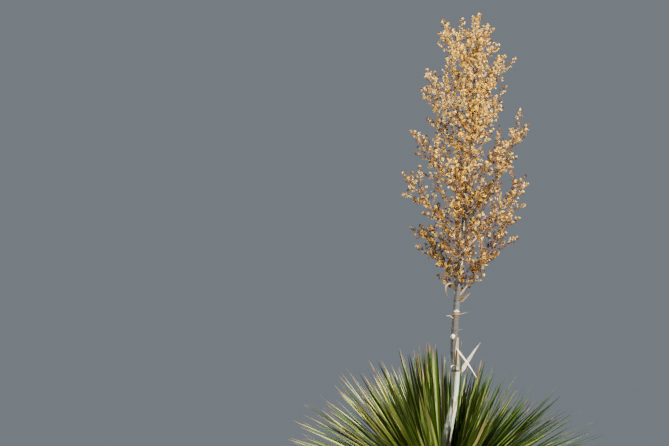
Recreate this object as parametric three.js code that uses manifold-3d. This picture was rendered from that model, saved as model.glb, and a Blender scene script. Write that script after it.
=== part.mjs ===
// A nolina in dry fruit: a short woody trunk, a heart of stiff sword leaves in whorls, and one tall
// flower stalk that carries plumes of papery fruit. Millimetres, +Z up, origin on the ground under
// the trunk. +X is the side that the stalk leans to.
import * as THREE from 'three';
import { mergeVertices } from 'three/addons/utils/BufferGeometryUtils.js';
import Module from 'manifold-3d';

const wasm = await Module();
wasm.setup();

// Driving dimensions.
const heart = new THREE.Vector3(16, 10, 720); // middle of the leaf heart
const plantTop = 4850; // tip of the topmost plume
const gap = 0.4; // air left between pieces that meet
const turnedFaces = 14; // flat faces round the trunk and round every whorl's ring

// Trunk, from its flat cut up to the leaf heart.
const groundRadius = 172; // root flare at the cut
const trunkRadius = 124;
const waistRadius = 119;
const flareHeight = 320;
const flareLobes = 5;
const lobeDepth = 0.13; // share of the radius

// Leaf heart: every whorl is a slice of one thick shell round a ring-shaped core.
const coreRadius = 62;
const shellInside = 90;
const shellOutside = 140;
const whorlCount = 11;
const lowestWhorl = -23; // degrees above level
const highestWhorl = 83;
const leafLength = 1150;
const leafHalfWidth = 20;
const leafDepth = 8.2;
const leafSunk = 28; // how far a blade's root lies inside the shell
const levelDroop = 8; // degrees that a level leaf arches over
const uprightDroop = 3;

// Flower stalk and its panicle. Rises are measured from the heart up.
const stalkFootRadius = 40;
const stalkTipRadius = 5;
const stalkLean = 0.122; // sideways travel for each unit of rise
const leanSettles = 150; // height over which the upright foot takes up the lean
const stalkStraightens = 3100; // rise where the lean begins to bend back
const stalkBend = 0.00009;
const stalkKink = 56; // how far it bows aside just above the leaves
const kinkRise = 830;
const kinkReach = 270;
const stalkReach = 3930; // rise of the stalk's own tip
const stalkCuts = [1050, 3100]; // rises where the stalk is parted, so that each length is nearly straight
const panicleFoot = 1590; // rise of the lowest bough
const panicleHead = 3760; // rise of the highest bough
const panicleRadius = 485; // widest reach of the plumes' own lines
const panicleNarrows = 2700; // rise where the panicle begins to narrow
const boughCount = 19;
const boughRadius = 8;
const topBoughRadius = 5.5;
const goldenTurn = 137.5; // degrees from one bough, or one twig, to the next
const firstBough = -20; // compass of the lowest bough
const boughClimb = 45; // degrees above level
const topBoughClimb = 69;
const crownRise = 150; // the others' lines end this far below the top
const crownTip = 75; // and the topmost plume's line ends this far below it
const crownShift = 400; // how far the topmost tip lies from the heart, along +X
const twigSpacing = 86;
const twigLength = 200;
const topTwigLength = 95; // on the tip of a plume
const twigSweep = 0.3; // how far a twig turns up out of its splay
const clusterSize = 140; // each cluster stands for a spray of fruit
const spaceMargin = 7; // air between two plumes, and between a plume and the stalk

const degrees = THREE.MathUtils.degToRad;
const lerp = THREE.MathUtils.lerp;
const up = new THREE.Vector3(0, 0, 1);

// The same run of numbers between 0 and 1 for the same seed.
function seeded(seed) {
  let state = seed >>> 0;
  return () => {
    state = (state + 0x6d2b79f5) >>> 0;
    let mixed = Math.imul(state ^ (state >>> 15), state | 1);
    mixed ^= mixed + Math.imul(mixed ^ (mixed >>> 7), mixed | 61);
    return ((mixed ^ (mixed >>> 14)) >>> 0) / 4294967296;
  };
}

// A point's direction from its compass angle and its rise above level.
function heading(compass, rise) {
  const flat = Math.cos(rise);
  return new THREE.Vector3(Math.cos(compass) * flat, Math.sin(compass) * flat, Math.sin(rise));
}

// Any direction square to the given one, turned round it by an angle.
function squareTo(direction, turn) {
  const start = Math.abs(direction.z) < 0.9 ? up : new THREE.Vector3(1, 0, 0);
  return new THREE.Vector3().crossVectors(direction, start).normalize().applyAxisAngle(direction, turn);
}

// Solids

// A closed three.js geometry as a solid that can be joined and cut.
function solidOf(geometry) {
  const bare = new THREE.BufferGeometry();
  bare.setAttribute('position', geometry.getAttribute('position'));
  bare.setIndex(geometry.getIndex());
  const merged = mergeVertices(bare, 1e-3);
  const index = merged.getIndex().array;
  const kept = [];
  for (let i = 0; i < index.length; i += 3) {
    const [a, b, c] = [index[i], index[i + 1], index[i + 2]];
    if (a !== b && b !== c && c !== a) kept.push(a, b, c);
  }
  return new wasm.Manifold(new wasm.Mesh({
    numProp: 3,
    vertProperties: new Float32Array(merged.getAttribute('position').array),
    triVerts: new Uint32Array(kept),
  }));
}

function geometryOf(solid) {
  const { vertProperties, triVerts, numProp } = solid.getMesh();
  const geometry = new THREE.BufferGeometry();
  const position = new Float32Array((vertProperties.length / numProp) * 3);
  for (let i = 0; i < position.length / 3; i++) {
    position.set(vertProperties.subarray(i * numProp, i * numProp + 3), i * 3);
  }
  geometry.setAttribute('position', new THREE.BufferAttribute(position, 3));
  geometry.setIndex(new THREE.BufferAttribute(new Uint32Array(triVerts), 1));
  geometry.computeVertexNormals();
  return geometry;
}

// Joins solids into one, keeps its largest body, and leaves out any sealed hollow or loose scrap.
function fuse(solids) {
  const bodies = wasm.Manifold.union(solids).decompose();
  return bodies.reduce((largest, body) => (body.volume() > largest.volume() ? body : largest));
}

// A closed limb: a cylinder whose rings are carried along a curve. `section` gives the half width
// and half depth of each ring, and `across` is the direction that the width keeps to. A pointed
// limb's last ring is a single corner.
function limb(curve, section, sides, steps, across, pointed = false) {
  const tube = new THREE.CylinderGeometry(pointed ? 0 : 1, 1, 1, sides, steps);
  const position = tube.getAttribute('position');
  for (let i = 0; i < position.count; i++) {
    const along = position.getY(i) + 0.5;
    const tangent = curve.getTangent(along);
    const side = across.clone().addScaledVector(tangent, -across.dot(tangent)).normalize();
    const face = new THREE.Vector3().crossVectors(side, tangent);
    const [wide, deep] = section(along);
    const unit = pointed && along < 1 ? 1 - along : 1;
    const point = curve.getPoint(along)
      .addScaledVector(side, position.getX(i) * wide / unit)
      .addScaledVector(face, position.getZ(i) * deep / unit);
    position.setXYZ(i, point.x, point.y, point.z);
  }
  return solidOf(tube);
}

// The section of a round limb that tapers evenly.
function round(rootRadius, tipRadius) {
  return (along) => {
    const radius = lerp(rootRadius, tipRadius, along);
    return [radius, radius];
  };
}

// A profile of [radius, height] pairs turned round the upright axis.
function turned(profile) {
  const points = profile.map(([radius, height]) => new THREE.Vector2(radius, height));
  return new THREE.LatheGeometry(points, turnedFaces).rotateX(Math.PI / 2);
}

// Materials

const barkBrown = new THREE.MeshStandardMaterial({ color: 0x5d4a3a, roughness: 0.95 });
const stalkBuff = new THREE.MeshStandardMaterial({ color: 0xa89a84, roughness: 0.8 });
const leafGreen = new THREE.MeshStandardMaterial({ color: 0x4f6a22, roughness: 0.5 });
const bractCream = new THREE.MeshStandardMaterial({ color: 0xe4d6b4, roughness: 0.7 });
const fruitGold = new THREE.MeshStandardMaterial({ color: 0xd9a545, roughness: 0.65 });

const plant = new THREE.Group();

function addPiece(name, solid, material) {
  const mesh = new THREE.Mesh(geometryOf(solid), material);
  mesh.name = name;
  plant.add(mesh);
}

const numbered = (name, index) => `${name}_${String(index + 1).padStart(2, '0')}`;

// Trunk

// A point on the heart's shell: out from the core ring along the angle above level.
const shellPoint = (radius, rise) => [coreRadius + radius * Math.cos(rise), radius * Math.sin(rise)];

function trunk() {
  const headSteps = 7;
  const neck = degrees(-42);
  const headRadius = shellInside - 4.5; // the whorls' rings have flat faces, which come closer in
  const profile = [[0, 0], [groundRadius, 0], [lerp(trunkRadius, groundRadius, 0.46), 0.17 * flareHeight],
    [lerp(trunkRadius, groundRadius, 0.12), 0.44 * flareHeight], [trunkRadius, flareHeight],
    [waistRadius, 0.65 * heart.z], [waistRadius + 2, 0.85 * heart.z]];
  for (let step = 0; step <= headSteps; step++) {
    const [radius, height] = shellPoint(headRadius, lerp(neck, Math.PI / 2, step / headSteps));
    profile.push([radius, heart.z + height]);
  }
  profile.push([stalkFootRadius + 8, heart.z + shellInside - gap], [0, heart.z + shellInside - gap]);
  const geometry = turned(profile);
  const position = geometry.getAttribute('position');
  for (let i = 0; i < position.count; i++) {
    const [x, y, z] = [position.getX(i), position.getY(i), position.getZ(i)];
    const flare = Math.max(0, 1 - z / flareHeight);
    const swell = 1 + lobeDepth * flare * Math.cos(flareLobes * Math.atan2(y, x) + 0.6);
    const lean = Math.min(1, z / (0.78 * heart.z));
    position.setXYZ(i, x * swell + heart.x * lean, y * swell + heart.y * lean, z);
  }
  return solidOf(geometry);
}

// Leaf whorls

const whorlSpacing = degrees((highestWhorl - lowestWhorl) / (whorlCount - 1));
const whorlRise = (level) => degrees(lowestWhorl) + level * whorlSpacing;

// The slice of the shell that belongs to one whorl, less the air left above and below it.
function whorlSlice(level, air) {
  const half = whorlSpacing / 2 - air / shellInside;
  const corners = [[shellInside, -half], [shellOutside, -half], [shellOutside, half], [shellInside, half],
    [shellInside, -half]].map(([radius, turn]) => shellPoint(radius, whorlRise(level) + turn));
  return solidOf(turned(corners).translate(heart.x, heart.y, heart.z));
}

// One whorl: its slice, with sword leaves rooted in it and cut clear of the slices on either side.
function whorl(level) {
  const random = seeded(300 + level);
  const rise = whorlRise(level);
  const leaves = Math.round(7 + 9 * Math.cos(rise));
  const spread = 2 * Math.PI / leaves;
  const first = 0.5 * spread * (level % 2);
  const blades = [];
  for (let leaf = 0; leaf < leaves; leaf++) {
    const compass = first + (leaf + 0.3 * (random() - 0.5)) * spread;
    blades.push(swordLeaf(compass, rise + degrees(1.2 * (random() - 0.5)), random));
  }
  const clear = wasm.Manifold.union(blades)
    .subtract(whorlSlice(level - 1, 0))
    .subtract(whorlSlice(level + 1, 0));
  return fuse([whorlSlice(level, gap), clear]);
}

// A stiff keeled blade that narrows to a long point. Low leaves arch over more than upright ones.
function swordLeaf(compass, rise, random) {
  const droop = degrees(lerp(uprightDroop, levelDroop, Math.cos(rise)) + 5 * (random() - 0.5));
  const length = leafLength * (0.82 + 0.22 * random());
  const [radius, height] = shellPoint(shellOutside - leafSunk, rise);
  const root = heading(compass, 0).multiplyScalar(radius).add(heart).addScaledVector(up, height);
  const middle = root.clone().addScaledVector(heading(compass, rise), length / 2);
  const tip = middle.clone().addScaledVector(heading(compass, rise - droop), length / 2);
  const curve = new THREE.QuadraticBezierCurve3(root, middle, tip);
  const section = (along) => {
    const taper = 1 - 0.75 * along ** 2;
    return [leafHalfWidth * taper, leafDepth * taper];
  };
  return limb(curve, section, 3, 2, heading(compass + Math.PI / 2, 0), true);
}

// Flower stalk

// The stalk's middle line. It leans, and bends back upright near the top.
class StalkLine extends THREE.Curve {
  getPoint(along, target = new THREE.Vector3()) {
    const rise = lerp(shellInside, stalkReach, along);
    const above = rise - shellInside;
    const travel = stalkLean * above ** 2 / (above + leanSettles);
    const bend = stalkBend * Math.max(0, rise - stalkStraightens) ** 2;
    const kink = stalkKink * Math.exp(-(((rise - kinkRise) / kinkReach) ** 2));
    return target.set(travel - bend + kink, 0, rise).add(heart);
  }
}

const stalkLine = new StalkLine();
const stalkAlong = (rise) => (rise - shellInside) / (stalkReach - shellInside);
const stalkRadius = (along) => lerp(stalkFootRadius, stalkTipRadius, Math.min(1, along));

function stalk(extra) {
  const section = (along) => [stalkRadius(along) + extra, stalkRadius(along) + extra];
  return limb(stalkLine, section, 10, 20, new THREE.Vector3(1, 0, 0));
}

// The stalk as separate lengths, from its foot up.
function stalkLengths() {
  const lengths = [];
  let rest = stalk(0);
  for (const cut of stalkCuts) {
    lengths.push(rest.trimByPlane([0, 0, -1], -(heart.z + cut)));
    rest = rest.trimByPlane([0, 0, 1], heart.z + cut + gap);
  }
  return [...lengths, rest];
}

// Cuts a piece clear of the stalk that it grows from.
const grownStalk = stalk(gap);
const clearOfStalk = (solid) => fuse([solid.subtract(grownStalk)]);

// Plumes: each has a bare bough, and a mass of fruiting twigs that carries the same line on.

// How far from the stalk the plume tips reach, by their height.
function panicleReach(height) {
  const foot = THREE.MathUtils.smoothstep(height, panicleFoot - 120, panicleFoot + 760);
  const head = Math.max(0, (height - panicleNarrows) / (plantTop - heart.z - panicleNarrows));
  return panicleRadius * lerp(0.3, 1, foot) * (1 - 0.62 * head ** 1.5);
}

// Boughs that stray from the rule: degrees turned, and shares of the rule's reach and lift.
const strayBoughs = new Map([
  [0, { turn: 0, reach: 1.35, lift: 1.9 }],
  [1, { turn: 0, reach: 1.25, lift: 1.3 }],
  [3, { turn: -8, reach: 1.3, lift: 1.4 }],
  [4, { turn: 0, reach: 0.92, lift: 1 }],
  [7, { turn: -8, reach: 1.12, lift: 0.8 }],
  [8, { turn: 0, reach: 1.12, lift: 1 }],
  [9, { turn: 12, reach: 0.8, lift: 1.65 }],
  [12, { turn: 0, reach: 0.95, lift: 1.08 }],
  [13, { turn: 0, reach: 0.82, lift: 1.12 }],
  [15, { turn: -50, reach: 0.94, lift: 1.35 }],
  [16, { turn: 0, reach: 0.55, lift: 0.9 }],
  [18, { turn: 0, reach: 0.8, lift: 0.3 }],
]);

// The middle line of one plume, from inside the stalk to its tip.
function plumeLine(index) {
  const stray = strayBoughs.get(index) ?? { turn: 0, reach: 1, lift: 1 };
  const random = seeded(180 + index);
  const level = index / (boughCount - 1);
  const rise = lerp(panicleFoot, panicleHead, level ** 0.96);
  const compass = degrees(firstBough + index * goldenTurn + 16 * (random() - 0.5) + stray.turn);
  const climb = degrees(lerp(boughClimb, topBoughClimb, level ** 3) + 8 * (random() - 0.5));
  const root = stalkLine.getPoint(stalkAlong(rise));
  const ruledReach = panicleReach(rise + 380) * (0.84 + 0.18 * random());
  const reach = ruledReach * stray.reach;
  const lift = Math.min(ruledReach * Math.tan(climb) * stray.lift, plantTop - crownRise - root.z);
  const outward = heading(compass, 0);
  const middle = root.clone().addScaledVector(outward, 0.55 * reach).addScaledVector(up, 0.43 * lift);
  const tip = root.clone().addScaledVector(outward, reach).addScaledVector(up, lift);
  return new THREE.QuadraticBezierCurve3(root, middle, tip);
}

// The topmost plume stands on the stalk's own tip.
function crownLine() {
  const root = stalkLine.getPoint(1);
  const tip = new THREE.Vector3(heart.x + crownShift, root.y, plantTop - crownTip);
  const middle = root.clone().lerp(tip, 0.5).add(new THREE.Vector3(6, 0, 0));
  return new THREE.QuadraticBezierCurve3(root, middle, tip);
}

const plumeLines = Array.from({ length: boughCount }, (_, index) => plumeLine(index));
plumeLines.push(crownLine());
const stemShare = 0.8; // a mass's stem is this much thinner than its bough's root
const stemTipRadius = 2.4;
const bareShare = (index) => (index < boughCount ? lerp(0.24, 0.16, index / boughCount) : 0);
const limbRadius = (index) => lerp(boughRadius, topBoughRadius, index / boughCount);

// A stretch of another curve.
class SpanOf extends THREE.Curve {
  constructor(whole, start, end) {
    super();
    Object.assign(this, { whole, start, end });
  }

  getPoint(along, target = new THREE.Vector3()) {
    return this.whole.getPoint(lerp(this.start, this.end, along), target);
  }
}

function bough(index) {
  const line = plumeLines[index];
  const part = new SpanOf(line, 0, bareShare(index));
  const section = round(1.25 * limbRadius(index), stemShare * limbRadius(index));
  return clearOfStalk(limb(part, section, 5, 2, squareTo(line.getTangent(0), 0)));
}

// Each mass keeps to the space that is nearer to its own line than to any other.
const linePoints = plumeLines.map((line) => line.getPoints(8));

function distanceToLine(point, points) {
  const nearest = new THREE.Vector3();
  const segment = new THREE.Line3();
  let least = Infinity;
  for (let i = 1; i < points.length; i++) {
    segment.set(points[i - 1], points[i]).closestPointToPoint(point, true, nearest);
    least = Math.min(least, nearest.distanceTo(point));
  }
  return least;
}

function inOwnSpace(point, index) {
  const own = distanceToLine(point, linePoints[index]);
  const along = stalkAlong(point.z - heart.z);
  const centre = stalkLine.getPoint(Math.min(1, Math.max(0, along)));
  if (centre.distanceTo(point) < stalkRadius(along) + spaceMargin && index < boughCount) return false;
  if (point.z > plantTop) return false;
  return linePoints.every((points, other) => other === index
    || distanceToLine(point, points) > Math.max(own, boughRadius) + spaceMargin);
}

// A cluster of papery fruit: a lozenge of six faces. Its root lies `sunk` behind its place, which is
// on the middle line of what it grows from.
function fruitCluster(place, direction, size, sunk) {
  const side = squareTo(direction, 0);
  const middle = place.clone().addScaledVector(direction, size * 0.5 - sunk);
  const stance = new THREE.Matrix4()
    .makeBasis(side, direction, new THREE.Vector3().crossVectors(side, direction))
    .scale(new THREE.Vector3(size * 0.32, size * 0.5, size * 0.26))
    .setPosition(middle);
  return new THREE.SphereGeometry(1, 3, 2).applyMatrix4(stance);
}

function cornersOf(geometry) {
  const position = geometry.getAttribute('position');
  const corner = (_, i) => new THREE.Vector3().fromBufferAttribute(position, i);
  return Array.from({ length: position.count }, corner);
}

// The direction that leaves `way` by the angle `splay`, on the side given by `turn`.
function splayed(way, splay, turn) {
  return way.clone().multiplyScalar(Math.cos(splay)).addScaledVector(squareTo(way, turn), Math.sin(splay));
}

// One mass: a stem, twigs turned round it by the golden angle with a cluster on each tip, and
// clusters that sit on the stem between the twigs. What would leave the mass's own space is
// made smaller, or skipped.
function fruitMass(index) {
  const random = seeded(700 + 13 * index);
  const line = plumeLines[index];
  const start = bareShare(index) + (index < boughCount ? gap / line.getLength() : 0.009);
  const stemLine = new SpanOf(line, start, 1);
  const stemLength = stemLine.getLength();
  const stemSection = round(stemShare * limbRadius(index), stemTipRadius);
  const solids = [limb(stemLine, stemSection, 3, 3, squareTo(stemLine.getTangent(0), 0.4))];
  const addCluster = (place, direction, size, sunk) => {
    for (const share of [1, 0.8, 0.6]) {
      const cluster = fruitCluster(place, direction, size * share, sunk);
      if (!cornersOf(cluster).every((corner) => inOwnSpace(corner, index))) continue;
      solids.push(solidOf(cluster));
      break;
    }
  };
  const tipSunk = 6;
  const twigCount = Math.round(stemLength / twigSpacing);
  for (let twig = 0; twig < twigCount; twig++) {
    const along = lerp(0.04, 0.94, (twig + 0.5 * random()) / twigCount);
    const turn = degrees(goldenTurn * twig + 50 * random());
    const way = splayed(stemLine.getTangent(along), degrees(38 + 20 * random()), turn)
      .addScaledVector(up, twigSweep).normalize();
    const length = lerp(twigLength, topTwigLength, along) * (0.6 + 0.6 * random());
    const root = stemLine.getPoint(along);
    const tip = root.clone().addScaledVector(way, length).addScaledVector(up, 0.1 * length);
    const twigLine = new THREE.LineCurve3(root, tip);
    if (inOwnSpace(tip, index) && inOwnSpace(twigLine.getPoint(0.5), index)) {
      solids.push(limb(twigLine, round(3.2, 2.2), 3, 1, squareTo(way, turn)));
      const upswept = way.clone().addScaledVector(up, 0.2).normalize();
      addCluster(tip, upswept, clusterSize * (0.75 + 0.35 * random()), tipSunk);
    }
    const next = Math.min(1, along + 0.5 / twigCount);
    const seat = splayed(stemLine.getTangent(next), degrees(50), turn + Math.PI)
      .addScaledVector(up, twigSweep).normalize();
    addCluster(stemLine.getPoint(next), seat, clusterSize * (0.65 + 0.3 * random()), 0);
  }
  addCluster(stemLine.getPoint(1), stemLine.getTangent(1), clusterSize * 0.7, tipSunk);
  return fuse(solids);
}

// Bracts: papery blades on the stalk. Angles are in degrees, compass from +X. Twist turns the
// blade's face aside, and curl is how far it bends over along its length.
const bractPlan = [
  { rise: 970, compass: -30, twist: -45, climb: 55, curl: 8, length: 310, halfWidth: 24 },
  { rise: 1285, compass: -115, twist: 0, climb: 30, curl: 300, length: 115, halfWidth: 18 },
  { rise: 1185, compass: -62, twist: 0, climb: -40, curl: 12, length: 400, halfWidth: 11 },
  { rise: 1455, compass: -20, twist: 0, climb: 6, curl: -8, length: 105, halfWidth: 9 },
  { rise: 1560, compass: -35, twist: -30, climb: 20, curl: -10, length: 140, halfWidth: 17 },
  { rise: 1630, compass: -130, twist: 30, climb: 95, curl: 280, length: 280, halfWidth: 14 },
];

// The middle line of a blade that turns evenly from its climb through its curl.
class CurledLine extends THREE.Curve {
  constructor(root, compass, climb, curl, length) {
    super();
    Object.assign(this, { root, compass, climb, curl, length });
  }

  getPoint(along, target = new THREE.Vector3()) {
    const steps = 12;
    target.copy(this.root);
    for (let step = 0; step < steps; step++) {
      const turn = this.climb - this.curl * along * (step + 0.5) / steps;
      target.addScaledVector(heading(this.compass, turn), this.length * along / steps);
    }
    return target;
  }
}

function bract({ rise, compass, twist, climb, curl, length, halfWidth }) {
  const root = stalkLine.getPoint(stalkAlong(rise)).addScaledVector(heading(degrees(compass), 0),
    0.7 * stalkRadius(stalkAlong(rise)));
  const line = new CurledLine(root, degrees(compass), degrees(climb), degrees(curl), length);
  const section = (along) => [
    halfWidth * (1 - along ** 1.4) + 1.5,
    0.0065 * length * (1.4 - 0.7 * along) + 1,
  ];
  return clearOfStalk(limb(line, section, 4, 6, heading(degrees(compass + 90 + twist), 0)));
}

// Assembly

addPiece('trunk', trunk(), barkBrown);
stalkLengths().forEach((length, index) => addPiece(numbered('flower_stalk', index), length, stalkBuff));
for (let level = 0; level < whorlCount; level++) {
  addPiece(numbered('leaf_whorl', level), whorl(level), leafGreen);
}
for (let index = 0; index < boughCount; index++) {
  addPiece(numbered('bough', index), bough(index), stalkBuff);
}
for (let index = 0; index < plumeLines.length; index++) {
  addPiece(numbered('fruit_mass', index), fruitMass(index), fruitGold);
}
bractPlan.forEach((plan, index) => addPiece(numbered('bract', index), bract(plan), bractCream));

export default plant;
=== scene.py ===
# A nolina in dry fruit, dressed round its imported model: bark with old leaf bases, stiff sword
# leaves, a leaning flower stalk with papery bracts, and plumes of winged capsules.
# Metres, +Z up. +X is the side that the stalk leans to.
from math import atan2, copysign, cos, pi, radians, sin, tan

import bpy
import numpy as np
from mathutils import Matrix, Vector, noise


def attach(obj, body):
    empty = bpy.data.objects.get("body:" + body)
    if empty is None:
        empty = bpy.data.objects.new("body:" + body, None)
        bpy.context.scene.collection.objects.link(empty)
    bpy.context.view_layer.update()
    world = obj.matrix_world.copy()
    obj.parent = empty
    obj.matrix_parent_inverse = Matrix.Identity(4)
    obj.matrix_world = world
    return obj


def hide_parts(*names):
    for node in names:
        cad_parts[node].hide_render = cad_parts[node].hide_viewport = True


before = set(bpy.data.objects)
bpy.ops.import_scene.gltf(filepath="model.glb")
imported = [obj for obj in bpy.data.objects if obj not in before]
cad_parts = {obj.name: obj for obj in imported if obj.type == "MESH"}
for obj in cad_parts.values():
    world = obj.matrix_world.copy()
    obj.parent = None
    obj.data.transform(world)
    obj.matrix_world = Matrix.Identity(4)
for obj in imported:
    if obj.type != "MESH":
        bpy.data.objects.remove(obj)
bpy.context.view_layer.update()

# Vectors and seeds

up = np.array((0.0, 0.0, 1.0))
sideways = np.array((1.0, 0.0, 0.0))
goldenTurn = radians(137.5)  # from one bough, twig or capsule to the next
anyTurn = 6.28  # a random share of it turns a twig or a capsule any way


def evenTurns(count):
    return np.arange(count) * 2 * pi / count


def around(turns):  # level directions, one for each turn from +X
    return np.stack((np.cos(turns), np.sin(turns), 0 * turns), -1)


def lerp(start, end, share):
    return start + (end - start) * share


def smoothStep(value, low, high):
    share = np.clip((value - low) / (high - low), 0, 1)
    return share * share * (3 - 2 * share)


def unit(vectors):
    return vectors / np.maximum(np.linalg.norm(vectors, axis=-1, keepdims=True), 1e-9)


def heading(compass, rise):  # compass from +X and rise above level, in radians
    flat = cos(rise)
    return np.array((cos(compass) * flat, sin(compass) * flat, sin(rise)))


def squareTo(ways, turns):  # a direction square to each way, turned round it
    ways = np.atleast_2d(ways)
    steep = np.abs(ways[:, 2:3]) >= 0.9
    side = unit(np.cross(ways, np.where(steep, sideways, up)))
    turns = np.reshape(turns, (-1, 1))
    return side * np.cos(turns) + np.cross(ways, side) * np.sin(turns)


def splayed(ways, splay, turns):  # leaves each way by an angle, on the side given by the turn
    splay = np.reshape(splay, (-1, 1))
    return np.atleast_2d(ways) * np.cos(splay) + squareTo(ways, turns) * np.sin(splay)


def seeded(seed):  # the same run of numbers between 0 and 1 for the same seed
    word = 0xFFFFFFFF
    stride = 0x6D2B79F5
    state = seed

    def draw():
        nonlocal state
        state = (state + stride) & word
        mixed = ((state ^ (state >> 15)) * (state | 1)) & word
        mixed ^= (mixed + (mixed ^ (mixed >> 7)) * (mixed | 61)) & word
        return (mixed ^ (mixed >> 14)) / (word + 1)

    return draw


class Bow:  # a quadratic curve from a root over a middle to a tip
    def __init__(self, root, middle, tip):
        self.root = root
        self.middle = middle
        self.tip = tip

    def points(self, shares):
        shares = np.reshape(shares, (-1, 1))
        rest = 1 - shares
        return rest**2 * self.root + 2 * rest * shares * self.middle + shares**2 * self.tip

    def ways(self, shares):
        shares = np.reshape(shares, (-1, 1))
        return unit((1 - shares) * (self.middle - self.root) + shares * (self.tip - self.middle))

    def length(self):
        steps = np.diff(self.points(np.linspace(0, 1, 200)), axis=0)
        return float(np.linalg.norm(steps, axis=1).sum())


# Objects and meshes


def newObject(name, data):
    made = bpy.data.objects.new(name, data)
    bpy.context.scene.collection.objects.link(made)
    return made


class Heap:  # gathers points, faces and UVs of many small shapes for one joined mesh
    def __init__(self):
        self.points = []
        self.faces = []
        self.uvs = []
        self.count = 0

    def add(self, points, faceSets, uvs=None):
        points = np.asarray(points, float).reshape(-1, 3)
        self.points.append(points)
        self.uvs.append(np.zeros((len(points), 2)) if uvs is None else uvs)
        self.faces += [np.asarray(faces) + self.count for faces in faceSets]
        self.count += len(points)


# One joined mesh, which replaces the nodes whose names start with the word given, if there is one
def makePiece(name, heap, material, sharpAngle, replaced=None):
    points = np.concatenate(heap.points)
    corners = np.concatenate([faces.ravel() for faces in heap.faces])
    sizes = np.concatenate([np.full(len(faces), faces.shape[1]) for faces in heap.faces])
    mesh = bpy.data.meshes.new(name)
    mesh.vertices.add(len(points))
    mesh.vertices.foreach_set("co", points.ravel())
    mesh.loops.add(len(corners))
    mesh.loops.foreach_set("vertex_index", corners)
    mesh.polygons.add(len(sizes))
    mesh.polygons.foreach_set("loop_start", np.concatenate(([0], np.cumsum(sizes)[:-1])))
    mesh.update(calc_edges=True)
    layer = mesh.uv_layers.new(name="UVMap")
    layer.data.foreach_set("uv", np.concatenate(heap.uvs)[corners].ravel())
    mesh.polygons.foreach_set("use_smooth", np.full(len(sizes), sharpAngle > 0))
    if sharpAngle > 0:
        mesh.set_sharp_from_angle(angle=radians(sharpAngle))
    mesh.materials.append(material)
    piece = newObject(name, mesh)
    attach(piece, "root")
    if replaced:
        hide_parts(*(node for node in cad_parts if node.startswith(replaced)))
    print(name, "has", int((sizes - 2).sum()), "triangles")


def ringFaces(rings, sides):  # quads between rings of points, and a cap at each end
    row = np.arange(rings - 1)[:, None] * sides
    column = np.arange(sides)
    after = (column + 1) % sides
    above = row + sides
    quads = np.stack([row + column, row + after, above + after, above + column], -1)
    last = (rings - 1) * sides
    return [quads.reshape(-1, 4), column[::-1][None, :], (last + column)[None, :]]


def frames(ways, across):  # the side and the upper face of a strip whose width keeps to `across`
    side = unit(across - ways * np.sum(ways * across, axis=-1, keepdims=True))
    return side, np.cross(side, ways)


def tube(heap, path, ways, radii, sides):
    side, face = frames(ways, sideways)
    turns = evenTurns(sides)[None, :, None]
    spokes = side[:, None] * np.cos(turns) + face[:, None] * np.sin(turns)
    points = path[:, None] + spokes * np.reshape(radii, (len(path), -1, 1))
    along = np.concatenate(([0], np.cumsum(np.linalg.norm(np.diff(path, axis=0), axis=1))))
    uvs = np.stack(np.meshgrid(np.arange(sides) / sides, along), -1).reshape(-1, 2)
    heap.add(points, ringFaces(len(path), sides), uvs)


def clasp(heap, axisAt, radiusAt, rise, compass, wrap, length, lean, blunt=0.0, thickness=0.0016,
          rows=12, columns=9):  # a scale that hugs a limb at its foot and leaves it towards its tip
    share = np.linspace(0, 1, rows)[:, None]
    spread = np.concatenate((np.linspace(-1, 1, columns), np.linspace(1, -1, columns)))
    outside = np.repeat((1.0, 0.0), columns)
    narrowed = share**1.6
    heights = rise + share[:, 0] * length * cos(lean)
    turns = compass + spread * wrap / 2 * (1 - (1 - blunt) * narrowed)
    away = radiusAt(heights)[:, None] + thickness * (0.6 + outside)
    away = away + narrowed * length * sin(lean)
    points = axisAt(heights)[:, None] + around(turns) * away[..., None]
    uvs = np.stack(np.broadcast_arrays((spread + 1) / 2 + compass * 5, share), -1).reshape(-1, 2)
    heap.add(points, ringFaces(rows, 2 * columns), uvs)


def twigs(heap, roots, tips, rootRadius, tipRadius):  # many straight three-sided twigs at once
    ways = unit(tips - roots)
    spokes = np.stack([squareTo(ways, np.full(len(ways), turn)) for turn in evenTurns(3)], 1)
    foot = roots[:, None] + spokes * rootRadius
    head = tips[:, None] + spokes * tipRadius
    points = np.concatenate([foot, head], 1)
    first = (np.arange(len(roots)) * points.shape[1])[:, None, None]
    quads = np.array(((0, 1, 4, 3), (1, 2, 5, 4), (2, 0, 3, 5)))
    caps = np.array(((2, 1, 0), (3, 4, 5)))
    heap.add(points, [(first + quads).reshape(-1, 4), (first + caps).reshape(-1, 3)])


# Shaders


class Field:  # one socket of a shader, so that its maths can be written as an expression
    def __init__(self, shader, socket):
        self.shader = shader
        self.socket = socket

    def join(self, operation, first, second):
        return self.shader.add("Math", {"operation": operation}, {0: first, 1: second})

    def __add__(self, other):
        return self.join("ADD", self, other)

    def __sub__(self, other):
        return self.join("SUBTRACT", self, other)

    def __mul__(self, other):
        return self.join("MULTIPLY", self, other)

    def __radd__(self, other):
        return self.join("ADD", other, self)

    def __rsub__(self, other):
        return self.join("SUBTRACT", other, self)

    def __rmul__(self, other):
        return self.join("MULTIPLY", other, self)


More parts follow.
